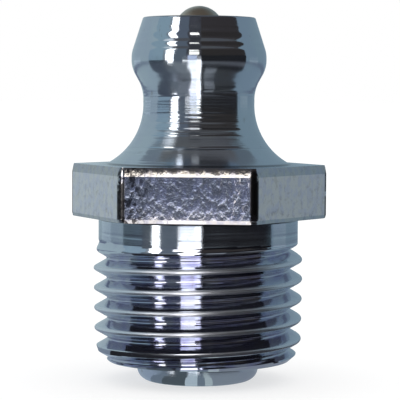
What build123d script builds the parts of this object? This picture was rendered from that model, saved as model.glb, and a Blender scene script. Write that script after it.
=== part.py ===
from build123d import *
from math import asin, cos, degrees, pi, radians, sin, sqrt, tan
import os

# A straight grease nipple: a turned steel body with a hexagon, a check ball that closes the inlet
# in its coupling head, and the long coil spring that holds the ball on its seat.
# Millimetres. Z is the nipple's axis with the coupling head up, and the origin lies on the axis in
# the plane of the hexagon's underside.

# Hexagon: steep bevels along its edges, and corners relieved by a turned cone
across_flats = 10.8
hexagon_height = 2.55
corner_round = 0.4
top_bevel_height = 0.3
top_bevel_depth = 0.06
foot_bevel_height = 0.22
foot_bevel_depth = 0.06
relief_over = 0.04
relief_under = 0.1
relief_angle = 20

# Coupling head and the flare that carries it, with heights above the hexagon's top
head_diameter = 6.5
head_height = 7.05
head_top_angle = 17.8
head_top_chamfer = 0.06
ridge_height = 5.05
ridge_land = 0.16
ridge_round = 1.3
underside_angle = 29
throat_depth = 0.57
throat_round = 1.6
flare_height = 2.88
flare_round = 3.2

# Shank: the plain blank under the hexagon, then the thread over its crests
blank_diameter = 9.64
blank_length = 1.25
blank_chamfer = 0.26
thread_diameter = 10.1
thread_length = 5.65
thread_start_angle = 45
lead_length = 1.0
lead_end_length = 0.3
lead_end_diameter = 9.56
foot_diameter = 8.88

# Tail, whose end face is staked by a ring that pushes the bore's edge inward
tail_diameter = 5.86
tail_length = 1.0
tail_round = 0.6
stake_diameter = 3.9
stake_width = 0.46
stake_depth = 0.2

# Check ball, its conical seat and the bore behind it
ball_diameter = 2.381
ball_stands_out = 0.56
seat_angle = 26
seat_clearance = 0.03
inlet_chamfer = 0.05
grease_gap = 0.16

# Staked lip at the bore's lower end
lip_overhang = 0.4
lip_length = 0.45
lip_chamfer = 0.12
mouth_chamfer = 0.12

# Spring with closed ends, between the lip and the ball
wire_diameter = 0.38
spring_play = 0.14
spring_clearance = 0.04
spring_pitch = 2.0
closed_gap = 0.05
closed_turns = 1.0
easing_turns = 0.5
points_per_turn = 8

# Radii
flat_radius = across_flats / 2
corner_radius = (flat_radius - corner_round) / cos(pi / 6) + corner_round
head_radius = head_diameter / 2
throat_radius = head_radius - throat_depth
blank_radius = blank_diameter / 2
thread_radius = thread_diameter / 2
lead_end_radius = lead_end_diameter / 2
foot_radius = foot_diameter / 2
tail_radius = tail_diameter / 2
stake_radius = stake_diameter / 2
ball_radius = ball_diameter / 2
bore_radius = ball_radius + grease_gap
lip_radius = bore_radius - lip_overhang
wire_radius = wire_diameter / 2
coil_radius = bore_radius - spring_play - wire_radius

# Levels along the axis
hexagon_middle = hexagon_height / 2
head_top = hexagon_height + head_height
ridge_level = hexagon_height + ridge_height
flare_top = hexagon_height + flare_height
blank_end = -blank_length
thread_end = blank_end - thread_length
tail_end = thread_end - tail_length
lip_level = tail_end + lip_length
ball_level = head_top + ball_stands_out - ball_radius

os.makedirs("parts", exist_ok=True)

# Coupling head: the cones above and below the ridge meet its land in two rounds
over_slope = tan(radians(head_top_angle))
under_slope = tan(radians(underside_angle))
over_corner = ridge_level + ridge_land / 2 + ridge_round * tan(radians(head_top_angle) / 2)
under_corner = ridge_level - ridge_land / 2 - ridge_round * tan(radians(underside_angle) / 2)
throat_corner = under_corner - (head_radius - throat_radius) / under_slope
head_top_radius = head_radius - (head_top - over_corner) * over_slope

# Seat: a cone that would touch a ball larger by the seat clearance
seat_lean = radians(seat_angle)
seat_reach = ball_radius + seat_clearance
seat_foot = ball_level + (seat_reach - bore_radius * cos(seat_lean)) / sin(seat_lean)
inlet_level = head_top - inlet_chamfer
inlet_radius = (seat_reach - (inlet_level - ball_level) * sin(seat_lean)) / cos(seat_lean)

with BuildPart() as nipple_body:
    # Hexagon
    with BuildSketch(Plane.XY) as hexagon:
        RegularPolygon(radius=flat_radius, side_count=6, major_radius=False)
        fillet(hexagon.vertices(), radius=corner_round)
    extrude(amount=hexagon_height)
    foot_face = nipple_body.faces().sort_by(Axis.Z)[0]
    chamfer(foot_face.edges(), length=foot_bevel_depth, length2=foot_bevel_height, reference=foot_face)
    top_face = nipple_body.faces().sort_by(Axis.Z)[-1]
    chamfer(top_face.edges(), length=top_bevel_depth, length2=top_bevel_height, reference=top_face)

    # Turned relief that takes the tips off the hexagon's corners
    relief_slope = tan(radians(relief_angle))
    with BuildSketch(Plane.XZ):
        with BuildLine():
            Polyline(
                (0, 0),
                (corner_radius - relief_under / relief_slope, 0),
                (corner_radius, relief_under),
                (corner_radius, hexagon_height - relief_over),
                (corner_radius - relief_over / relief_slope, hexagon_height),
                (0, hexagon_height),
                close=True,
            )
        make_face()
    revolve(axis=Axis.Z, mode=Mode.INTERSECT)

    # Flare, throat, ridge and tapered top of the coupling head
    with BuildSketch(Plane.XZ):
        with BuildLine():
            flare = CenterArc(
                center=(throat_radius + flare_round, flare_top),
                radius=flare_round,
                start_angle=180,
                arc_size=degrees(asin(flare_height / flare_round)),
            )
            FilletPolyline(
                flare @ 0,
                (throat_radius, throat_corner),
                (head_radius, under_corner),
                (head_radius, over_corner),
                (head_top_radius + head_top_chamfer * over_slope, head_top - head_top_chamfer),
                (head_top_radius - head_top_chamfer, head_top),
                (0, head_top),
                radius=[throat_round, ridge_round, ridge_round, 0, 0],
            )
            flare_foot = (flare @ 1).X
            Polyline((0, head_top), (0, hexagon_middle), (flare_foot, hexagon_middle), flare @ 1)
        make_face()
    revolve(axis=Axis.Z)

    # Blank, thread over its crests with a lead in two cones, and tail
    thread_start = blank_end - (thread_radius - blank_radius) / tan(radians(thread_start_angle))
    with BuildSketch(Plane.XZ) as shank:
        with BuildLine():
            Polyline(
                (0, tail_end),
                (tail_radius, tail_end),
                (tail_radius, thread_end),
                (foot_radius, thread_end),
                (lead_end_radius, thread_end + lead_end_length),
                (thread_radius, thread_end + lead_length),
                (thread_radius, thread_start),
                (blank_radius, blank_end),
                (blank_radius, -blank_chamfer),
                (blank_radius + blank_chamfer, 0),
                (blank_radius + blank_chamfer, hexagon_middle),
                (0, hexagon_middle),
                close=True,
            )
        make_face()
        tail_edge = shank.vertices().group_by(Axis.Y)[0].sort_by(Axis.X)[-1]
        fillet(tail_edge, radius=tail_round)
    revolve(axis=Axis.Z)

    # Bore, from the chamfered inlet and the seat down to the staked lip
    with BuildSketch(Plane.XZ):
        with BuildLine():
            Polyline(
                (0, head_top),
                (inlet_radius + inlet_chamfer, head_top),
                (inlet_radius, inlet_level),
                (bore_radius, seat_foot),
                (bore_radius, lip_level),
                (lip_radius + lip_chamfer, lip_level),
                (lip_radius, lip_level - lip_chamfer),
                (lip_radius, tail_end + mouth_chamfer),
                (lip_radius + mouth_chamfer, tail_end),
                (0, tail_end),
                close=True,
            )
        make_face()
    revolve(axis=Axis.Z, mode=Mode.SUBTRACT)

    # Ring pressed into the tail's end face by the staking tool
    with BuildSketch(Plane.XZ):
        with BuildLine():
            Polyline(
                (stake_radius - stake_width / 2, tail_end),
                (stake_radius, tail_end + stake_depth),
                (stake_radius + stake_width / 2, tail_end),
                close=True,
            )
        make_face()
    revolve(axis=Axis.Z, mode=Mode.SUBTRACT)

nipple_body.part.label = "nipple_body"
export_step(nipple_body.part, "parts/nipple_body.step")

# Check ball, on its seat
with BuildPart() as check_ball:
    with Locations((0, 0, ball_level)):
        Sphere(radius=ball_radius)

check_ball.part.label = "check_ball"
export_step(check_ball.part, "parts/check_ball.step")

# Spring: the wire's centre line rises by a closed turn, eases into the open pitch over the next
# half turn, and mirrors that at its upper end, whose tip bears on the ball
closed_pitch = wire_diameter + closed_gap
spring_foot = lip_level + spring_clearance + wire_radius
ball_reach = ball_radius + spring_clearance + wire_radius
spring_head = ball_level - sqrt(ball_reach**2 - coil_radius**2)
spring_height = spring_head - spring_foot
extra_pitch = spring_pitch - closed_pitch
end_turns = closed_turns + easing_turns / 2
spring_turns = (spring_height + 2 * extra_pitch * end_turns) / spring_pitch


def rise(turns):
    """Height of the wire's centre over the spring's nearer end after a number of turns from it."""
    eased = min(max((turns - closed_turns) / easing_turns, 0), 1)
    opened = max(turns - closed_turns - easing_turns, 0)
    return closed_pitch * turns + extra_pitch * (easing_turns * (eased**3 - eased**4 / 2) + opened)


def wire_centre(turns):
    """Point on the wire's centre line after a number of turns from its foot."""
    if turns < spring_turns / 2:
        height = rise(turns)
    else:
        height = spring_height - rise(spring_turns - turns)
    angle = 2 * pi * turns
    return (coil_radius * cos(angle), coil_radius * sin(angle), spring_foot + height)


with BuildPart() as spring:
    with BuildLine() as centre_line:
        steps = round(spring_turns * points_per_turn)
        Spline([wire_centre(spring_turns * step / steps) for step in range(steps + 1)])
    with BuildSketch(Plane(origin=centre_line.line @ 0, z_dir=centre_line.line % 0)):
        Circle(radius=wire_radius)
    sweep(is_frenet=True)

spring.part.label = "spring"
export_step(spring.part, "parts/spring.step")
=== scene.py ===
import math

import bmesh
import bpy
from mathutils import Matrix, Vector


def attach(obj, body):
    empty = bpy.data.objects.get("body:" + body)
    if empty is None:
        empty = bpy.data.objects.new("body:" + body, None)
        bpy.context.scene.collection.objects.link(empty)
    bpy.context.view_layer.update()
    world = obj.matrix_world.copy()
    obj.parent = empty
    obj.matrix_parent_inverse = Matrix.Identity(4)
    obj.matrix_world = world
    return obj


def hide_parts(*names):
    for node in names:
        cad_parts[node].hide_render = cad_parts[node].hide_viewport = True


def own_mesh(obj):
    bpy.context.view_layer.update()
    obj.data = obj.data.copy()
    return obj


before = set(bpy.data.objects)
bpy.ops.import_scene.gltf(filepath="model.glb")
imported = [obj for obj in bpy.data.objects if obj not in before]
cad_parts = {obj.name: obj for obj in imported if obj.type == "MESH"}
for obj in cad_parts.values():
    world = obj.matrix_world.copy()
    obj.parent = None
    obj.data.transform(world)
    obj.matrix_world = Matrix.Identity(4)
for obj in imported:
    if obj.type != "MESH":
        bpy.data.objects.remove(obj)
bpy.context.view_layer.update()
scene = bpy.context.scene
mm = 0.001  # sizes below are in millimetres, the scene is in metres
tiny = 1e-7  # metres, below which two points are one
levelFace = 0.999  # a face whose normal has its z past this lies level
zAxis = Vector((0, 0, 1))


# Materials: a wire is one output socket, and sums and products of wires become nodes
class Wire:
    def __init__(self, look, socket):
        self.look = look
        self.socket = socket

    def math(self, operation, *others):
        return self.look.node("Math", {"operation": operation}, dict(enumerate((self, *others))))

    def __add__(self, other):
        return self.math("ADD", other)

    def __sub__(self, other):
        return self.math("SUBTRACT", other)

    def __mul__(self, other):
        return self.math("MULTIPLY", other)

    def __truediv__(self, other):
        return self.math("DIVIDE", other)

    def __rsub__(self, other):
        return self.look.node("Math", {"operation": "SUBTRACT"}, {0: other, 1: self})

    def __rtruediv__(self, other):
        return self.look.node("Math", {"operation": "DIVIDE"}, {0: other, 1: self})

    __radd__ = __add__
    __rmul__ = __mul__

    def step(self, low, high):  # smooth, 0 up to low and 1 from high on
        return self.look.node("MapRange", {"interpolation_type": "SMOOTHSTEP"},
                              {"Value": self, "From Min": low, "From Max": high})

    def band(self, low, high, soft):  # 1 between low and high
        return self.step(low - soft, low + soft) * self.step(high + soft, high - soft)

    def between(self, low, high):  # 0 to 1 becomes low to high
        return self * (high - low) + low

    def blend(self, colour, amount):  # towards a plain colour
        return self.look.node("Mix", {"data_type": "RGBA"}, {0: amount, 6: self, 7: (*colour, 1)}, 2)


class Look:
    def __init__(self, name, **constants):
        self.material = bpy.data.materials.new(name)
        self.material.use_nodes = True
        self.tree = self.material.node_tree
        self.shader = self.tree.nodes["Principled BSDF"]
        for key, value in constants.items():
            self.shader.inputs[key.replace("_", " ")].default_value = value
        place = self.node("TexCoord", {}, {}, "Object")
        self.place = self.node("VectorMath", {"operation": "SCALE"}, {0: place, "Scale": 1 / mm})
        self.x, self.y, self.z = (self.node("SeparateXYZ", {}, {0: self.place}, axis) for axis in "XYZ")
        self.r = (self.x * self.x + self.y * self.y).math("SQRT")

    def node(self, kind, settings, inputs, output=0):
        made = self.tree.nodes.new("ShaderNode" + kind)
        for key, value in settings.items():
            setattr(made, key, value)
        for key, value in inputs.items():
            if isinstance(value, Wire):
                self.tree.links.new(value.socket, made.inputs[key])
            else:
                made.inputs[key].default_value = value
        return Wire(self, made.outputs[output])

    def colour(self, colour):
        made = self.node("RGB", {}, {})
        made.socket.default_value = (*colour, 1)
        return made

    def noise(self, scale, detail, roughness=0.5, place=None):  # scale in waves per millimetre
        return self.node("TexNoise", {}, {"Vector": place or self.place, "Scale": scale, "Detail": detail,
                                          "Roughness": roughness})

    def around(self, along, turnwise, lengthwise, detail):  # noise stretched round the axis
        place = self.node("CombineXYZ", {}, {0: self.x / self.r * turnwise, 1: self.y / self.r * turnwise,
                                             2: along * lengthwise})
        return self.noise(1.0, detail, place=place)

    def feed(self, **wires):
        for key, wire in wires.items():
            self.tree.links.new(wire.socket, self.shader.inputs[key.replace("_", " ")])

    def bump(self, height):  # height in millimetres
        return self.node("Bump", {}, {"Height": height, "Distance": mm, "Strength": 1.0})


# Turned outlines: a chain of edges in the XZ plane, drawn run by run and spun round the axis
class Outline:
    longRun = 5  # a run longer than this many holds gets a vertex one hold from each end

    def __init__(self, bm, r, z):
        self.bm = bm
        self.tip = bm.verts.new((r * mm, 0, z * mm))
        self.verts = [self.tip]
        self.corners = []  # (vertex, radius of its round, steps)

    def to(self, r, z, radius=0, steps=0):  # straight run, then a corner with this round
        made = bmesh.ops.extrude_vert_indiv(self.bm, verts=[self.tip])["verts"]
        self.tip = made[0]
        self.tip.co = (r * mm, 0, z * mm)
        self.verts.append(self.tip)
        if radius:
            self.corners.append((self.tip, radius, steps))

    def arc(self, r, z, degrees, steps):  # about the centre (r, z), clockwise for a positive angle
        before = set(self.bm.verts)
        last = bmesh.ops.spin(self.bm, geom=[self.tip], cent=(r * mm, 0, z * mm), axis=(0, 1, 0),
                              angle=math.radians(degrees), steps=steps, use_merge=False)["geom_last"]
        self.tip = vertsOf(last)[0]
        self.verts += [v for v in self.bm.verts if v not in before]

    def finish(self, hold):  # rounds the corners and holds the long runs
        for vert, radius, steps in self.corners:
            a, b = [(e.other_vert(vert).co - vert.co).normalized() for e in vert.link_edges]
            reach = radius * mm * math.tan((math.pi - a.angle(b)) / 2)
            self.verts.remove(vert)
            before = set(self.bm.verts) - {vert}
            bmesh.ops.bevel(self.bm, geom=[vert], offset=reach, offset_type="OFFSET", segments=steps,
                            profile=0.5, affect="VERTICES", clamp_overlap=False, material=-1)
            self.verts += [v for v in self.bm.verts if v not in before]
        edges = {e for v in self.verts for e in v.link_edges}
        for edge in sorted(edges, key=lambda e: (e.verts[0].co.z, e.verts[0].co.x)):
            if edge.calc_length() > self.longRun * hold * mm:
                start, end = edge.verts
                far, _ = bmesh.utils.edge_split(edge, end, hold * mm / edge.calc_length())
                near = [e for e in start.link_edges if e.other_vert(start) in far.verts or e is edge][0]
                bmesh.utils.edge_split(near, start, hold * mm / near.calc_length())


def everything(bm):
    return bm.verts[:] + bm.edges[:] + bm.faces[:]


def vertsOf(geom):
    return [g for g in geom if isinstance(g, bmesh.types.BMVert)]


def spun(bm, steps):  # a full turn of what is drawn, round the axis
    bmesh.ops.spin(bm, geom=everything(bm), cent=(0, 0, 0), axis=zAxis, angle=2 * math.pi, steps=steps,
                   use_merge=True)


def rimEdges(bm, z):  # open edges that lie at a level
    return [e for e in bm.edges if e.is_boundary and all(abs(v.co.z - z * mm) < 10 * tiny for v in e.verts)]


def openEdges(bm):
    return len([e for e in bm.edges if not e.is_manifold])


def objectOf(bm, name, *materials):
    mesh = bpy.data.meshes.new(name)
    bm.to_mesh(mesh)
    bm.free()
    for material in materials:
        mesh.materials.append(material)
    obj = bpy.data.objects.new(name, mesh)
    scene.collection.objects.link(obj)
    return obj


# Body: the thread, the turned parts and the hexagon, joined in one mesh
body = {
    "acrossFlats": 10.8, "hexTop": 2.55, "cornerRound": 0.4, "cornerSteps": 12,
    "topBevels": ((0.054, 0.31), (0.03, 0.1)), "footBevels": ((0.045, 0.17),),  # (inward, along the axis)
    "reliefOver": 0.02, "reliefUnder": 0.04, "reliefAngle": 20,
    "headTop": 9.6, "headRadius": 3.25, "topEdgeRound": 0.09, "topEdgeSteps": 6,
    "ridge": 7.6, "ridgeLand": 0.16, "ridgeRound": 1.3, "underSteps": 10, "overSteps": 8,
    "overAngle": 17.8, "underAngle": 29, "throatRadius": 2.68, "throatRound": 1.6, "throatSteps": 10,
    "flareTop": 5.43, "flareRound": 3.2, "flareHeight": 2.88, "flareSteps": 26,
    "blankRadius": 4.82, "blankChamfer": 0.12, "threadEnd": -6.9,
    "tailRadius": 2.93, "tailEnd": -7.9, "tailRound": 0.6, "tailSteps": 9,
    "stakeRadius": 1.95, "stakeWidth": 0.46, "stakeDepth": 0.2, "stakeRound": 0.08, "stakeSteps": 4,
    "boreRadius": 1.3505, "seatFoot": 8.985, "inletRadius": 1.0748, "inletChamfer": 0.05,
    "inletRound": 0.03, "inletSteps": 3,
    "lipRadius": 0.9505, "lipLevel": -7.45, "lipChamfer": 0.12, "mouthChamfer": 0.12, "lipSteps": 4,
    "hold": 0.03, "steps": 192, "sharp": 8,  # sharp is the angle past which an edge is shaded hard
    "flatsFrom": 5.2, "flatsLean": 0.35, "threadFrom": 4, "threadOver": 0.05,  # where each finish lies
}
thread = {  # right hand, rolled: round crests and roots, tapering towards its lower end
    "pitch": 0.964, "formAngle": 60, "crest": 5.015, "crestRound": 0.145, "rootRound": 0.085,
    "taper": 1 / 64, "taperFrom": -3.9, "phase": 0.33,
    "grooveRunOut": (-1.1, -1.5), "crestRunOut": (-1.2, -2.1),  # levels from the plain blank to full depth
    "lead": ((-5.9, 5.02), (-6.6, 4.78), (-6.9, 4.44)),  # (level, largest radius)
    "endRing": 0.03, "steps": 144, "flankCuts": 3, "crestSteps": 6, "rootSteps": 4,
}


def turnedParts(bm):  # one outline from the flare's foot over the head, down the bore and round the tail
    b = body
    over, under = math.radians(b["overAngle"]), math.radians(b["underAngle"])
    overCorner = b["ridge"] + b["ridgeLand"] / 2 + b["ridgeRound"] * math.tan(over / 2)
    underCorner = b["ridge"] - b["ridgeLand"] / 2 - b["ridgeRound"] * math.tan(under / 2)
    throatCorner = underCorner - (b["headRadius"] - b["throatRadius"]) / math.tan(under)
    topRadius = b["headRadius"] - (b["headTop"] - overCorner) * math.tan(over)
    flareAngle = math.degrees(math.asin(b["flareHeight"] / b["flareRound"]))
    flareCentre = b["throatRadius"] + b["flareRound"]
    flareFoot = flareCentre - math.sqrt(b["flareRound"] ** 2 - b["flareHeight"] ** 2)

    line = Outline(bm, flareFoot, b["hexTop"])
    line.arc(flareCentre, b["flareTop"], flareAngle, b["flareSteps"])
    line.to(b["throatRadius"], throatCorner, b["throatRound"], b["throatSteps"])
    line.to(b["headRadius"], underCorner, b["ridgeRound"], b["underSteps"])
    line.to(b["headRadius"], overCorner, b["ridgeRound"], b["overSteps"])
    line.to(topRadius, b["headTop"], b["topEdgeRound"], b["topEdgeSteps"])
    line.to(b["inletRadius"] + b["inletChamfer"], b["headTop"], b["inletRound"], b["inletSteps"])
    line.to(b["inletRadius"], b["headTop"] - b["inletChamfer"])
    line.to(b["boreRadius"], b["seatFoot"])
    line.to(b["boreRadius"], b["lipLevel"])
    line.to(b["lipRadius"], b["lipLevel"], b["lipChamfer"], b["lipSteps"])
    line.to(b["lipRadius"], b["tailEnd"], b["mouthChamfer"], b["lipSteps"])
    for out, up in ((-b["stakeWidth"] / 2, 0), (0, b["stakeDepth"]), (b["stakeWidth"] / 2, 0)):
        line.to(b["stakeRadius"] + out, b["tailEnd"] + up, b["stakeRound"], b["stakeSteps"])
    line.to(b["tailRadius"], b["tailEnd"], b["tailRound"], b["tailSteps"])
    line.to(b["tailRadius"], b["threadEnd"])
    line.finish(b["hold"])
    spun(bm, b["steps"])


def threadSheet(bm):  # each step of the spin climbs a part of the pitch
    t, b = thread, body
    pitch = t["pitch"]
    apex = t["crest"] + t["crestRound"]  # where the flanks would meet over a crest
    root = apex - pitch / 2 / math.tan(math.radians(t["formAngle"] / 2))
    middle = (apex + root) / 2
    start = b["threadEnd"] - 1.5 * pitch + t["phase"] * pitch  # past both ends, where it is cut off
    turns = math.ceil((-b["blankChamfer"] - b["threadEnd"]) / pitch) + 2
    line = Outline(bm, middle, start)
    line.to(apex, start + pitch / 4, t["crestRound"], t["crestSteps"])
    line.to(root, start + 3 * pitch / 4, t["rootRound"], t["rootSteps"])
    line.to(middle, start + pitch)
    line.finish(pitch)
    flanks = [e for e in bm.edges if e.calc_length() > pitch * mm / 10]
    bmesh.ops.subdivide_edges(bm, edges=flanks, cuts=t["flankCuts"])
    bmesh.ops.spin(bm, geom=bm.verts[:] + bm.edges[:], cent=(0, 0, 0), axis=zAxis,
                   dvec=(0, 0, pitch * mm / t["steps"]), angle=2 * math.pi, steps=t["steps"],
                   use_merge=False)
    oneTurn = everything(bm)
    for turn in range(1, turns):
        made = bmesh.ops.duplicate(bm, geom=oneTurn)["geom"]
        bmesh.ops.translate(bm, vec=(0, 0, turn * pitch * mm), verts=vertsOf(made))
    bmesh.ops.remove_doubles(bm, verts=bm.verts[:], dist=tiny)
    for v in bm.verts:
        r, z = v.co.xy.length / mm, v.co.z / mm
        new = threadRadius(r, z) / r
        v.co.x *= new
        v.co.y *= new
    low, high = b["threadEnd"] + t["endRing"], -b["blankChamfer"]
    bmesh.ops.bisect_plane(bm, geom=everything(bm), dist=tiny, plane_co=(0, 0, high * mm),
                           plane_no=zAxis, clear_outer=True)
    bmesh.ops.bisect_plane(bm, geom=everything(bm), dist=tiny, plane_co=(0, 0, low * mm),
                           plane_no=zAxis, clear_inner=True)
    growRim(bm, low, -t["endRing"], -t["endRing"])
    growRim(bm, high, b["blankChamfer"], b["blankChamfer"])


def threadRadius(r, z):  # a point's radius after the taper, the run-out into the blank and the lead
    t, b = thread, body
    new = r - (t["taperFrom"] - z) * t["taper"]
    start, end = t["crestRunOut"] if new > b["blankRadius"] else t["grooveRunOut"]
    fade = min(max((start - z) / (start - end), 0), 1)
    new = b["blankRadius"] + (new - b["blankRadius"]) * fade
    for (high, wide), (low, narrow) in zip(t["lead"], t["lead"][1:]):
        new = min(new, narrow + (wide - narrow) * (z - low) / (high - low))
    return new


def growRim(bm, z, out, up):  # one more ring on an open rim, moved out and up
    made = bmesh.ops.extrude_edge_only(bm, edges=rimEdges(bm, z))["geom"]
    for v in vertsOf(made):
        r = v.co.xy.length
        v.co = Vector((v.co.x * (r + out * mm) / r, v.co.y * (r + out * mm) / r, v.co.z + up * mm))


def hexagonMesh():
    b = body
    bm = bmesh.new()
    corner = b["acrossFlats"] / 2 / math.cos(math.pi / 6)
    footBevel, topBevel = (sum(height for _, height in b[side]) for side in ("footBevels", "topBevels"))
    turned = Matrix.Rotation(math.pi / 6, 4, "Z")
    bmesh.ops.create_circle(bm, cap_ends=True, segments=6, radius=corner * mm,
                            matrix=Matrix.Translation((0, 0, footBevel * mm)) @ turned)
    made = bmesh.ops.extrude_face_region(bm, geom=bm.faces[:])["geom"]
    bmesh.ops.translate(bm, vec=(0, 0, (b["hexTop"] - footBevel - topBevel) * mm), verts=vertsOf(made))
    upright = [e for e in bm.edges if abs(e.verts[0].co.z - e.verts[1].co.z) > 10 * tiny]
    bmesh.ops.bevel(bm, geom=upright, offset=b["cornerRound"] * math.tan(math.pi / 6) * mm,
                    offset_type="OFFSET", segments=b["cornerSteps"], profile=0.5, affect="EDGES",
                    clamp_overlap=False, material=-1)
    bmesh.ops.recalc_face_normals(bm, faces=bm.faces[:])
    for up, side in ((1, "topBevels"), (-1, "footBevels")):
        for depth, height in b[side]:
            cap = [f for f in bm.faces if f.normal.z * up > levelFace]
            bmesh.ops.inset_individual(bm, faces=cap, thickness=depth * mm, depth=height * mm,
                                       use_even_offset=True)
    return objectOf(bm, "hexagonBlock")


def reliefMesh():  # ring whose cones take the tips off the hexagon's corners
    b = body
    bm = bmesh.new()
    corner = (b["acrossFlats"] / 2 - b["cornerRound"]) / math.cos(math.pi / 6) + b["cornerRound"]
    slope = math.tan(math.radians(b["reliefAngle"]))
    inner, past, out = 1, 0.5, 0.2  # hollow radius, height past the hexagon, reach past its corners
    line = Outline(bm, inner, -past)
    line.to(corner - (b["reliefUnder"] + past) / slope, -past)
    line.to(corner + out, b["reliefUnder"] + out * slope)
    line.to(corner + out, b["hexTop"] - b["reliefOver"] - out * slope)
    line.to(corner - (b["reliefOver"] + past) / slope, b["hexTop"] + past)
    line.to(inner, b["hexTop"] + past)
    bm.edges.new((line.verts[-1], line.verts[0]))
    spun(bm, b["steps"])
    bmesh.ops.recalc_face_normals(bm, faces=bm.faces[:])
    return objectOf(bm, "reliefTool")


def relievedHexagon():
    block, tool = hexagonMesh(), reliefMesh()
    cut = block.modifiers.new("relief", "BOOLEAN")
    cut.operation = "INTERSECT"
    cut.solver = "EXACT"
    cut.object = tool
    bpy.context.view_layer.update()
    mesh = bpy.data.meshes.new_from_object(block.evaluated_get(bpy.context.evaluated_depsgraph_get()))
    for obj in (block, tool):
        bpy.data.meshes.remove(obj.data)
    return mesh


def makeBody(turned, rolled, drawn):
    b = body
    bm = bmesh.new()
    threadSheet(bm)
    print("thread", len(bm.faces), "faces")
    rest = bmesh.new()
    turnedParts(rest)
    part = bpy.data.meshes.new("turnedParts")
    rest.to_mesh(part)
    rest.free()
    bm.from_mesh(part)
    bpy.data.meshes.remove(part)
    hexagon = relievedHexagon()
    before = set(bm.faces)
    bm.from_mesh(hexagon)
    bpy.data.meshes.remove(hexagon)
    # the hexagon keeps its sides, and its ends are filled again round the flare and the blank
    caps = [f for f in bm.faces if f not in before
            and (abs(f.normal.z) > levelFace or f.calc_center_median().xy.length < b["blankRadius"] * mm)]
    bmesh.ops.delete(bm, geom=caps, context="FACES")
    for z in (b["hexTop"], 0, b["threadEnd"]):
        bmesh.ops.triangle_fill(bm, use_beauty=True, use_dissolve=False, edges=rimEdges(bm, z), normal=zAxis)
    bmesh.ops.remove_doubles(bm, verts=bm.verts[:], dist=tiny)
    bmesh.ops.recalc_face_normals(bm, faces=bm.faces[:])
    print("body", len(bm.faces), "faces", openEdges(bm), "open edges")
    threadFoot, threadHead = b["threadEnd"] + b["threadOver"], thread["grooveRunOut"][0]
    for f in bm.faces:
        f.smooth = True
        middle = f.calc_center_median() / mm
        out = middle.xy.length
        if 0 < middle.z < b["hexTop"] and out > b["flatsFrom"] and abs(f.normal.z) < b["flatsLean"]:
            f.material_index = 2
        elif threadFoot < middle.z < threadHead and out > b["threadFrom"]:
            f.material_index = 1
    obj = objectOf(bm, "nippleBody", turned, rolled, drawn)
    obj.data.set_sharp_from_angle(angle=math.radians(b["sharp"]))
    return obj


plating = {  # colours of the plating, of what has happened to it, and of the shade and highlight painted on it
    "turned": (0.60, 0.645, 0.69), "rolled": (0.70, 0.735, 0.79), "drawn": (0.60, 0.57, 0.555),
    "groove": (0.6, 0.61, 0.66), "crestHighlight": (0.9, 0.9, 0.93), "violet": (0.50, 0.50, 0.66),
    "drawnViolet": (0.47, 0.47, 0.60), "stain": (0.33, 0.29, 0.25), "dirtAndShade": (0.05, 0.045, 0.045),
}
# In the finishes, From is where a blend begins and where it is full, and Most how strong it gets.
# Wobble, streak and ring are noises of (waves round the axis, waves along it, detail), and the others
# of (waves per millimetre, detail, roughness)
turning = {
    "lengthwise": 0.9, "rough": 0.16, "headRough": 0.1, "roughSpread": 0.06, "headFrom": (7.4, 7.5),
    "flareFoot": 0.3, "flareHead": 6.7, "flareSoft": 0.35,
    "feed": 0.13, "feedHeight": 0.002, "feedShare": (0.1, 1.0),  # shares are (elsewhere, on the flare)
    "wobble": (0.8, 2.5, 3.0), "wobbleTurns": 9.0,
    "streak": (1.2, 14.0, 2.0), "streakHeight": 0.0025, "streakShare": (0.2, 0.9),
    "ring": (0.35, 2.6, 1.0), "ringFrom": (0.5, 0.72), "ringDepth": 0.03, "ringShare": (0.15, 1.0),
    "headMarks": ((8.57, 0.27, 0.13), (8.19, 0.22, 0.1)),  # (height, width, depth)
    "violet": (0.35, 3.0), "violetFrom": (0.42, 0.62), "violetMost": 0.3,
    "blotch": (2.2, 4.0, 0.65), "stainFrom": (0.62, 0.76), "stainMost": 0.5,
    # seam is the painted shade in the creases at the hexagon's two ends
    "seam": 0.06, "seamSoft": (0.03, 0.05), "seamFrom": ((5.3, 5.1), (5.0, 4.6)), "seamMost": 0.9,
    "rimHeight": 0.06, "rimMost": 0.6,
}


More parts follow.
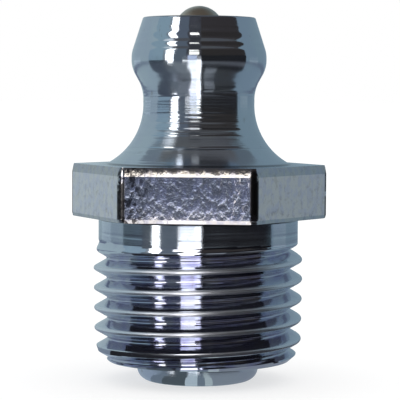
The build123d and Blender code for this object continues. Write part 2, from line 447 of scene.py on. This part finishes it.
def turnedSteel():  # blurred across the turning marks, along the axis
    p, t, b = plating, turning, body
    look = Look("turnedSteel", Metallic=1.0, Anisotropic=t["lengthwise"], Anisotropic_Rotation=0.25)
    along = look.z - look.r
    flare = look.z.band(b["hexTop"] + t["flareFoot"], t["flareHead"], t["flareSoft"])

    wobble = look.around(along, *t["wobble"])
    streak = look.around(along, *t["streak"])
    rings = look.around(along, *t["ring"]).step(*t["ringFrom"])
    wave = (along * (2 * math.pi / t["feed"]) + wobble * t["wobbleTurns"]).math("SINE")
    cut = (wave * wobble * t["feedHeight"] * flare.between(*t["feedShare"])
           + streak * t["streakHeight"] * flare.between(*t["streakShare"]))
    cut = cut - rings * t["ringDepth"] * flare.between(*t["ringShare"])
    for height, width, depth in t["headMarks"]:
        cut = cut - look.z.band(height, height, width) * depth

    blotch = look.noise(*t["blotch"])
    colour = look.colour(p["turned"])
    colour = colour.blend(p["violet"], look.noise(*t["violet"]).step(*t["violetFrom"]) * t["violetMost"])
    colour = colour.blend(p["stain"], blotch.step(*t["stainFrom"]) * t["stainMost"])
    # painted shade: darker in the crease under the hexagon and round the flare's foot on its top
    (softUnder, softOver), (fromUnder, fromOver) = t["seamSoft"], t["seamFrom"]
    under = look.z.band(-b["blankChamfer"], 0, softUnder) * look.r.step(*fromUnder)
    over = look.z.band(b["hexTop"], b["hexTop"] + t["seam"], softOver) * look.r.step(*fromOver)
    colour = colour.blend(p["dirtAndShade"], (under + over) * t["seamMost"])
    # darker over the top face and the top of its edge
    rim = look.z.step(b["headTop"] - t["rimHeight"], b["headTop"])
    colour = colour.blend(p["dirtAndShade"], rim * t["rimMost"])
    rough = (blotch * t["roughSpread"] + look.z.step(*t["headFrom"]) * (t["headRough"] - t["rough"])
             + (t["rough"] - t["roughSpread"] / 2))
    look.feed(Base_Color=colour, Roughness=rough, Normal=look.bump(cut))
    return look.material


rolling = {
    "rough": 0.08, "roughSpread": 0.05, "crestRough": 0.3, "streak": (1.2, 9.0, 2.0), "streakHeight": 0.004,
    "blotch": (1.6, 4.0, 0.6), "grooveFrom": (5.0, 4.5), "crestFrom": (4.9, 4.98), "crestMost": 0.8,
    "violetFrom": (0.4, 0.6), "violetMost": 0.7, "stainFrom": (0.6, 0.76), "stainMost": 0.45,
}


def rolledSteel():  # burnished smooth by the thread rolls, painted lighter at its crests as a highlight, with painted shade and violet in its grooves
    p, t = plating, rolling
    look = Look("rolledSteel", Metallic=1.0)
    streak = look.around(look.z, *t["streak"])
    blotch = look.noise(*t["blotch"])
    groove = look.r.step(*t["grooveFrom"])
    crest = look.r.step(*t["crestFrom"])
    # painted shade: darker down the flanks into the roots
    colour = look.colour(p["rolled"]).blend(p["groove"], groove)
    colour = colour.blend(p["violet"], groove * blotch.step(*t["violetFrom"]) * t["violetMost"])
    colour = colour.blend(p["stain"], blotch.step(*t["stainFrom"]) * t["stainMost"])
    # painted highlight: the crests are painted much lighter
    colour = colour.blend(p["crestHighlight"], crest * t["crestMost"])
    rough = blotch * t["roughSpread"] + crest * t["crestRough"] + (t["rough"] - t["roughSpread"] / 2)
    look.feed(Base_Color=colour, Roughness=rough, Normal=look.bump(streak * t["streakHeight"]))
    return look.material


drawing = {
    "rough": 0.1, "roughSpread": 0.08, "grain": (2.4, 3.0), "stretch": (1.3, 1.3, 0.9), "grainHeight": 0.011,
    "cloud": (1.1, 2.0), "pits": (3.12, 2.0, 0.7), "pitShare": 0.8,
    "violetFrom": (0.42, 0.6), "violetMost": 0.45, "stainFrom": (0.5, 0.66), "stainMost": 0.35,
    "cornerFrom": (6.09, 6.13), "cornerCloud": (0.62, 0.56), "cornerMost": 0.93, "cornerRough": 0.2,
    "specks": (4.5, 2.0), "speckFrom": (0.5, 0.6), "speckMost": 0.85,
    "speckDepth": (-5.2, -5.3), "speckEnd": (-1.3, -2.5),  # towards one end of the front flat
}


def drawnSteel():  # the bar's own skin on the flats of the hexagon, finely pitted under the plating
    p, t = plating, drawing
    look = Look("drawnSteel", Metallic=1.0)
    upright = look.node("VectorMath", {"operation": "MULTIPLY"}, {0: look.place, 1: t["stretch"]})
    grain = look.noise(*t["grain"], place=upright)
    cloud = look.noise(*t["cloud"])
    pits = look.noise(*t["pits"])
    colour = look.colour(p["drawn"])
    colour = colour.blend(p["drawnViolet"], grain.step(*t["violetFrom"]) * t["violetMost"])
    stain = (pits * t["pitShare"] + cloud * (1 - t["pitShare"])).step(*t["stainFrom"])
    colour = colour.blend(p["stain"], stain * t["stainMost"])
    corner = look.r.step(*t["cornerFrom"]) * cloud.step(*t["cornerCloud"])
    front = look.y.step(*t["speckDepth"]) * look.x.step(*t["speckEnd"])
    speck = front * look.noise(*t["specks"]).step(*t["speckFrom"])
    colour = colour.blend(p["dirtAndShade"], corner * t["cornerMost"] + speck * t["speckMost"])
    rough = grain * t["roughSpread"] + corner * t["cornerRough"] + (t["rough"] - t["roughSpread"] / 2)
    look.feed(Base_Color=colour, Roughness=rough, Normal=look.bump(grain * t["grainHeight"]))
    return look.material


nippleBody = makeBody(turnedSteel(), rolledSteel(), drawnSteel())
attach(nippleBody, "nipple")
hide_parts("nipple_body")

# Check ball, dull and a little oily, with the ring that its seat has rubbed bright
ball = {
    "radius": 1.1905, "level": 8.9695, "around": 96, "rings": 64, "seatAngle": 26,
    "steel": (0.56, 0.46, 0.36), "rubbed": (0.62, 0.61, 0.6),
    "rubHalf": 0.03, "rubSoft": 0.025, "rubMost": 0.7,
    "film": (1.6, 3.0), "filmFrom": (0.55, 0.7), "filmMost": 0.15, "oil": 0.35, "oilRough": 0.12,
    "rough": 0.22, "filmRough": 0.2, "rubSmooth": 0.12, "pits": (9.0, 3.0), "pitHeight": 0.0012,
}


def ballSteel():
    b = ball
    look = Look("ballSteel", Metallic=1.0, Coat_Weight=b["oil"], Coat_Roughness=b["oilRough"])
    seatLevel = b["level"] + b["radius"] * math.sin(math.radians(b["seatAngle"]))
    rubbed = look.z.band(seatLevel - b["rubHalf"], seatLevel + b["rubHalf"], b["rubSoft"])
    film = look.noise(*b["film"])
    bright = rubbed * b["rubMost"] + film.step(*b["filmFrom"]) * b["filmMost"]
    look.feed(Base_Color=look.colour(b["steel"]).blend(b["rubbed"], bright),
              Roughness=film * b["filmRough"] + b["rough"] - rubbed * b["rubSmooth"],
              Normal=look.bump(look.noise(*b["pits"]) * b["pitHeight"]))
    return look.material


def ballMesh():
    b = ball
    bm = bmesh.new()
    bmesh.ops.create_uvsphere(bm, u_segments=b["around"], v_segments=b["rings"], radius=b["radius"] * mm,
                              matrix=Matrix.Translation((0, 0, b["level"] * mm)))
    for f in bm.faces:
        f.smooth = True
    print("ball", len(bm.faces), "faces", openEdges(bm), "open edges")
    return bm


checkBall = objectOf(ballMesh(), "checkBall", ballSteel())
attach(checkBall, "ball")
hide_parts("check_ball")

# Spring, its wire risen step by step: a closed turn, an eased half turn, then the open pitch
coil = {
    "wireRadius": 0.19, "coilRadius": 1.0205, "foot": -7.22, "height": 15.2014, "turns": 9.563,
    "closedPitch": 0.43, "openPitch": 2.0, "closedTurns": 1.0, "easingTurns": 0.5,
    "stepsPerTurn": 24, "wireSides": 14, "sharp": 50, "lift": 1.2,  # lift is how far the ball presses it
    "steel": (0.45, 0.46, 0.48), "film": (0.3, 0.26, 0.2), "filmFrom": (0.52, 0.7), "filmMost": 0.5,
    "drawn": (9.0, 18.0, 3.0), "drawnHeight": 0.002, "rough": 0.2, "roughSpread": 0.2,
}


def riseOf(turns):  # height of the wire's centre over the nearer end
    c = coil
    extra = c["openPitch"] - c["closedPitch"]
    eased = min(max((turns - c["closedTurns"]) / c["easingTurns"], 0), 1)
    opened = max(turns - c["closedTurns"] - c["easingTurns"], 0)
    return c["closedPitch"] * turns + extra * (c["easingTurns"] * (eased ** 3 - eased ** 4 / 2) + opened)


def wireHeight(turns):  # the upper half mirrors the lower
    c = coil
    return riseOf(turns) if turns < c["turns"] / 2 else c["height"] - riseOf(c["turns"] - turns)


def coilMesh():
    c = coil
    bm = bmesh.new()
    foot = Matrix.Translation((c["coilRadius"] * mm, 0, c["foot"] * mm))
    made = bmesh.ops.create_circle(bm, cap_ends=True, segments=c["wireSides"], radius=c["wireRadius"] * mm,
                                   matrix=foot @ Matrix.Rotation(math.pi / 2, 4, "X"))["verts"]
    ring = list({e for v in made for e in v.link_edges}) + made
    count = round(c["turns"] * c["stepsPerTurn"])
    heights = [wireHeight(c["turns"] * i / count) for i in range(count + 1)]
    lean = 1.0  # the ring stays upright, so it is stretched along the axis where the wire climbs
    for i in range(count):
        climb = heights[i + 1] - heights[i]
        last = bmesh.ops.spin(bm, geom=ring, cent=(0, 0, 0), axis=zAxis, dvec=(0, 0, climb * mm),
                              angle=2 * math.pi * c["turns"] / count, steps=1, use_merge=False)["geom_last"]
        ring = [g for g in last if not isinstance(g, bmesh.types.BMFace)]
        slope = math.hypot(1, climb * count / c["turns"] / (2 * math.pi * c["coilRadius"]))
        middle = (c["foot"] + heights[i + 1]) * mm
        for v in vertsOf(ring):
            v.co.z = middle + (v.co.z - middle) * slope / lean
        lean = slope
    bmesh.ops.contextual_create(bm, geom=[g for g in ring if isinstance(g, bmesh.types.BMEdge)])
    bmesh.ops.remove_doubles(bm, verts=bm.verts[:], dist=tiny)
    bmesh.ops.recalc_face_normals(bm, faces=bm.faces[:])
    for f in bm.faces:
        f.smooth = True
    print("spring", len(bm.faces), "faces", openEdges(bm), "open edges")
    return bm


def springSteel():
    c = coil
    look = Look("springSteel", Metallic=1.0)
    drawn = look.around(look.z, *c["drawn"])
    colour = look.colour(c["steel"]).blend(c["film"], drawn.step(*c["filmFrom"]) * c["filmMost"])
    look.feed(Base_Color=colour, Roughness=drawn * c["roughSpread"] + c["rough"],
              Normal=look.bump(drawn * c["drawnHeight"]))
    return look.material


spring = objectOf(coilMesh(), "springCoil", springSteel())
spring.data.set_sharp_from_angle(angle=math.radians(coil["sharp"]))
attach(spring, "nipple")
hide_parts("spring")
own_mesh(spring)

# Camera, just above the hexagon and a little to the right of its front flat
view = {
    "lens": 166.5, "distance": 89.5, "clipStart": 1,
    "turn": 5.4, "tilt": 3.2, "roll": 0.3, "aim": 0.81, "side": -0.08,  # degrees, then millimetres
}
cameraData = bpy.data.cameras.new("camera")
cameraData.lens = view["lens"]
cameraData.clip_start = view["clipStart"] * mm
camera = bpy.data.objects.new("camera", cameraData)
scene.collection.objects.link(camera)
turn, tilt = math.radians(view["turn"]), math.radians(view["tilt"])
away = Vector((math.sin(turn) * math.cos(tilt), -math.cos(turn) * math.cos(tilt), math.sin(tilt)))
facing = (-away).to_track_quat("-Z", "Y").to_matrix().to_4x4()
aim = Vector((0, 0, view["aim"] * mm)) - facing.to_3x3() @ Vector((view["side"] * mm, 0, 0))
camera.matrix_world = (Matrix.Translation(aim + away * view["distance"] * mm) @ facing
                       @ Matrix.Rotation(math.radians(view["roll"]), 4, "Z"))
scene.camera = camera
print("camera", view["distance"], "mm away")

# Studio: a white world and floor, and cards that only the metal's reflections show
studio = {
    "worldColour": (1.0, 1.0, 1.0), "floorColour": (0.45, 0.45, 0.45), "floorGlow": 0.62,
    "floorSize": 4, "floorGap": 0.005,  # metres each way from the axis, millimetres under the tail
    "reach": 500, "patchReach": 480, "step": 6,  # millimetres to cards and patches, degrees between points
    "cards": [  # azimuths from the camera's side, right positive, then elevations, then the colour seen
        (-180, -95, -90, -11, (0.385, 0.487, 0.538)),
        (-180, -95, -11, -4.8, (0.16, 0.2, 0.28)),
        (-180, -95, -4.8, 45, (0.385, 0.487, 0.538)),
        (-180, -85, 45, 60, (0.2, 0.25, 0.29)),
        (-95, -64, -90, -11, (0.09, 0.11, 0.14)),
        (-95, -64, -11, -4.6, (0.03, 0.035, 0.05)),
        (-95, -64, -4.6, -1.5, (0.045, 0.055, 0.07)),
        (-95, -64, -1.5, 45, (0.3, 0.42, 0.5)),
        (-64, -55, -90, -11, (0.16, 0.19, 0.22)),
        (-64, -55, -11, -4.6, (0.06, 0.07, 0.09)),
        (-64, -52.5, -4.6, -1.5, (0.06, 0.07, 0.09)),
        (-64, -59, -1.5, 45, (0.25, 0.3, 0.34)),
        (-55, -46, -90, -11, (0.16, 0.19, 0.22)),
        (-55, -46, -11, -4.6, (4.5, 4.5, 4.5)),
        (-52.5, -43.5, -4.6, -1.5, (4.5, 4.5, 4.5)),
        (-59, -44, -1.5, 40, (3.5, 3.5, 3.5)),
        (-59, -44, 40, 45, (0.3, 0.33, 0.36)),
        (-85, -61, 45, 60, (0.9, 0.95, 1.0)),
        (-46, -19, -90, -11, (0.22, 0.25, 0.28)),
        (-46, -19, -11, -4.6, (0.12, 0.145, 0.19)),
        (-43.5, -19, -4.6, -1.5, (0.12, 0.145, 0.18)),
        (-44, -22, -1.5, 45, (0.13, 0.16, 0.2)),
        (-19, -3.5, -90, -50, (2.3, 2.4, 2.65)),
        (-19, -3.5, -50, -11, (1.5, 1.5, 1.55)),
        (-19, -3.5, -11, -4.6, (1.2, 1.38, 1.8)),
        (-3.5, 3.5, -90, -1, (3.4, 3.4, 3.5)),
        (-19, -3.5, -4.6, -0.2, (0.06, 0.082, 0.14)),
        (-19, -3.5, -0.2, 8, (0.68, 0.78, 1.06)),
        (-19, -3.5, 8, 12, (0.1, 0.115, 0.14)),
        (-3.5, 3.5, -1, 12, (0.12, 0.12, 0.14)),
        (-22, -19, -1.5, 12, (0.1, 0.11, 0.15)),
        (-22, -17, 12, 28, (0.07, 0.073, 0.085)),
        (-17, 0, 12, 14, (0.1, 0.115, 0.14)),
        (-17, 0, 14, 21, (2.6, 2.5, 2.3)),
        (-17, 0, 21, 28, (0.07, 0.073, 0.085)),
        (0, 3.5, 12, 28, (0.06, 0.06, 0.07)),
        (-22, 3.5, 28, 43, (0.07, 0.073, 0.085)),
        (-22, 3.5, 43, 60, (0.05, 0.053, 0.06)),
        (3.5, 87, -20, -8.25, (0.15, 0.16, 0.18)),
        (3.5, 87, -8.25, -5.2, (0.035, 0.036, 0.042)),
        (3.5, 87, -5.2, 10, (0.02, 0.021, 0.024)),
        (3.5, 87, 10, 30, (0.04, 0.036, 0.035)),
        (3.5, 87, 30, 45, (0.05, 0.045, 0.045)),
        (3.5, 12, -90, -20, (0.05, 0.055, 0.06)),
        (12, 35, -90, -20, (0.25, 0.27, 0.3)),
        (35, 87, -90, -20, (0.06, 0.065, 0.07)),
        (87, 180, -90, -11, (0.23, 0.32, 0.385)),
        (87, 180, -11, -4.6, (0.15, 0.19, 0.255)),
        (87, 180, -4.6, 45, (0.23, 0.32, 0.385)),
        (85, 180, 45, 60, (0.14, 0.18, 0.21)),
        (-61, -22, 45, 60, (0.105, 0.11, 0.12)),
        (3.5, 85, 45, 60, (0.105, 0.11, 0.12)),
        (-180, 180, 60, 90, (0.13, 0.135, 0.14)),
    ],
    "patches": [  # the same, in front of the cards
        (-147, -119, -5, 1.2, (0.54, 0.66, 0.73)),
        (95, 120, -4.8, 1.2, (0.35, 0.44, 0.5)),
    ],
    "near": [  # close by: azimuths, (radius, level) of one edge and of the other, then the colour
        # painted shade: the rings down at the tail stand for the floor round it, with the nipple's shade
        # painted on them
        (-180, -72, (5.2, -6.95), (11, -6.95), (0.22, 0.27, 0.34)),
        (-72, 76, (5.2, -6.95), (11, -6.95), (0.02, 0.02, 0.025)),
        (76, 180, (5.2, -6.95), (11, -6.95), (0.1, 0.12, 0.15)),
        (-180, -58, (2.5, -7.85), (11, -7.85), (0.35, 0.43, 0.52)),
        (-58, -40, (2.5, -7.85), (11, -7.85), (0.2, 0.25, 0.3)),
        (-40, -13, (2.5, -7.85), (11, -7.85), (0.1, 0.125, 0.14)),
        (-13, 0, (2.5, -7.85), (11, -7.85), (0.55, 0.65, 0.7)),
        (0, 8, (2.5, -7.85), (11, -7.85), (0.2, 0.25, 0.3)),
        (8, 16, (2.5, -7.85), (11, -7.85), (0.5, 0.58, 0.6)),
        (16, 100, (2.5, -7.85), (11, -7.85), (0.27, 0.31, 0.36)),
        (100, 180, (2.5, -7.85), (11, -7.85), (0.3, 0.35, 0.4)),
        (-26, 2, (20, 4.9), (20, 6.5), (2.2, 2.2, 2.2)),
        (-15.5, -2.4, (8, -7.3), (8, -1.45), (2.6, 2.6, 2.7)),
        (-20, -3.1, (20, -2.9), (20, -1.1), (2.6, 2.6, 2.7)),
        (3.5, 82, (20, -4), (20, 1), (0.008, 0.008, 0.01)),
        (-59, -47, (20, -2.8), (20, 3), (0.1, 0.12, 0.14)),
    ],
}


def reflected(name, colour, start, end, rows, place):  # place gives (radius, level) from 0 to 1 across
    bm = bmesh.new()
    bmesh.ops.create_grid(bm, x_segments=math.ceil((end - start) / studio["step"]), y_segments=rows, size=1)
    for v in bm.verts:
        heading = math.radians(view["turn"] - 90 + start + (end - start) * (v.co.x + 1) / 2)
        r, z = place((v.co.y + 1) / 2)
        v.co = (r * math.cos(heading) * mm, r * math.sin(heading) * mm, z * mm)
    material = bpy.data.materials.new(name)
    material.use_nodes = True
    tree = material.node_tree
    tree.nodes.clear()
    glow, out = tree.nodes.new("ShaderNodeEmission"), tree.nodes.new("ShaderNodeOutputMaterial")
    glow.inputs["Color"].default_value = (*colour, 1)
    tree.links.new(glow.outputs[0], out.inputs["Surface"])
    card = objectOf(bm, name, material)
    card.visible_camera = card.visible_diffuse = card.visible_shadow = card.visible_transmission = False


def onDome(reach, low, high):
    def place(share):
        elevation = math.radians(low + (high - low) * share)
        return reach * math.cos(elevation), reach * math.sin(elevation)
    return place


for kind, reach in (("cards", studio["reach"]), ("patches", studio["patchReach"])):
    for index, (start, end, low, high, colour) in enumerate(studio[kind]):
        rows = math.ceil((high - low) / studio["step"])
        reflected(f"{kind}{index}", colour, start, end, rows, onDome(reach, low, high))
for index, (start, end, low, high, colour) in enumerate(studio["near"]):
    reflected(f"near{index}", colour, start, end, 1, lambda share: Vector(low).lerp(Vector(high), share))


def paperLook():  # plain white where it is seen, and a diffuse floor that keeps the shadow
    material = bpy.data.materials.new("paper")
    material.use_nodes = True
    tree = material.node_tree
    tree.nodes.clear()
    add = tree.nodes.new
    rays, first, second = add("ShaderNodeLightPath"), add("ShaderNodeMath"), add("ShaderNodeMath")
    dim, glow, diffuse = add("ShaderNodeMath"), add("ShaderNodeEmission"), add("ShaderNodeBsdfDiffuse")
    both, out = add("ShaderNodeAddShader"), add("ShaderNodeOutputMaterial")
    first.operation = second.operation = "MAXIMUM"
    dim.operation = "MULTIPLY"
    dim.inputs[1].default_value = studio["floorGlow"]
    diffuse.inputs["Color"].default_value = (*studio["floorColour"], 1)
    for start, end in ((rays.outputs["Is Camera Ray"], first.inputs[0]),
                       (rays.outputs["Is Glossy Ray"], first.inputs[1]),
                       (first.outputs[0], second.inputs[0]),
                       (rays.outputs["Is Transmission Ray"], second.inputs[1]),
                       (second.outputs[0], dim.inputs[0]),
                       (dim.outputs[0], glow.inputs["Strength"]),
                       (diffuse.outputs[0], both.inputs[0]),
                       (glow.outputs[0], both.inputs[1]),
                       (both.outputs[0], out.inputs["Surface"])):
        tree.links.new(start, end)
    return material


bm = bmesh.new()
bmesh.ops.create_grid(bm, x_segments=1, y_segments=1, size=studio["floorSize"],
                      matrix=Matrix.Translation((0, 0, (body["tailEnd"] - studio["floorGap"]) * mm)))
floor = objectOf(bm, "floor", paperLook())
floor.visible_glossy = False  # the cards stand for it in reflections

world = bpy.data.worlds.new("world")
world.use_nodes = True
world.node_tree.nodes["Background"].inputs["Color"].default_value = (*studio["worldColour"], 1)
scene.world = world
scene.view_settings.view_transform = "Standard"
print("studio", len(studio["cards"]) + len(studio["patches"]) + len(studio["near"]), "cards")
